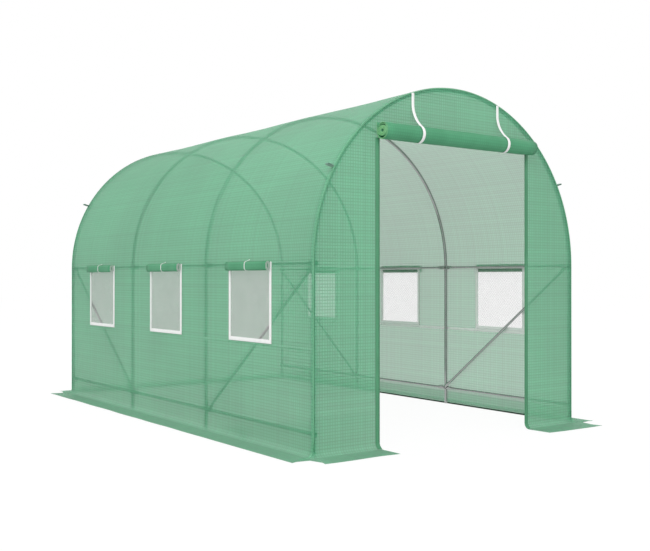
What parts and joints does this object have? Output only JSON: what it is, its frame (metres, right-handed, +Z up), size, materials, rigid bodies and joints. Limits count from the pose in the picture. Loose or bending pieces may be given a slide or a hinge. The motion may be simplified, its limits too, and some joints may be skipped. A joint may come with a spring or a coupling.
{
  "type": "polytunnel greenhouse",
  "caption": "Walk-in tunnel greenhouse: a hooped steel tube frame under a green net-reinforced cover, with a roll-up door, netted roll-up side windows and ground skirts.",
  "frame": {"origin": "middle of the footprint, skirts included, on the ground", "axes": "+X to the right seen from the doorway, +Y towards the rear end along the tunnel, +Z up"},
  "size_m": [2.31, 3.7, 1.988],
  "materials": {
    "frame_tube": "galvanised, dull",
    "cover_cloth": "woven net sheet, slightly see-through",
    "rolled_cloth": "rolled sheet, soft sheen",
    "window_net": "fine insect net",
    "white_webbing": "matt tape",
    "green_webbing": "matt tape"
  },
  "bodies": {
    "root": {"door_edge_strips": "green_webbing", "door_roll": "rolled_cloth", "door_ties": "white_webbing", "front_hoop_arch": "frame_tube", "front_hoop_legs": "frame_tube", "front_left_panel": "cover_cloth", "front_left_skirt": "cover_cloth", "front_right_panel": "cover_cloth", "front_right_skirt": "cover_cloth", "front_top_panel": "cover_cloth", "guy_loops": "green_webbing", "left_braces": "frame_tube", "left_eave_rails": "frame_tube", "left_flap_rolls": "rolled_cloth", "left_flap_ties": "white_webbing", "left_ground_rails": "frame_tube", "left_roof": "cover_cloth", "left_skirt": "cover_cloth", "left_wall": "cover_cloth", "left_window_borders": "white_webbing", "left_window_nets": "window_net", "rear_hoop_arch": "frame_tube", "rear_hoop_legs": "frame_tube", "rear_panel": "cover_cloth", "rear_skirt": "cover_cloth", "right_braces": "frame_tube", "right_eave_rails": "frame_tube", "right_flap_rolls": "rolled_cloth", "right_flap_ties": "white_webbing", "right_ground_rails": "frame_tube", "right_roof": "cover_cloth", "right_skirt": "cover_cloth", "right_wall": "cover_cloth", "right_window_borders": "white_webbing", "right_window_nets": "window_net", "second_hoop_arch": "frame_tube", "second_hoop_legs": "frame_tube", "third_hoop_arch": "frame_tube", "third_hoop_legs": "frame_tube"}
  },
  "joints": []
}
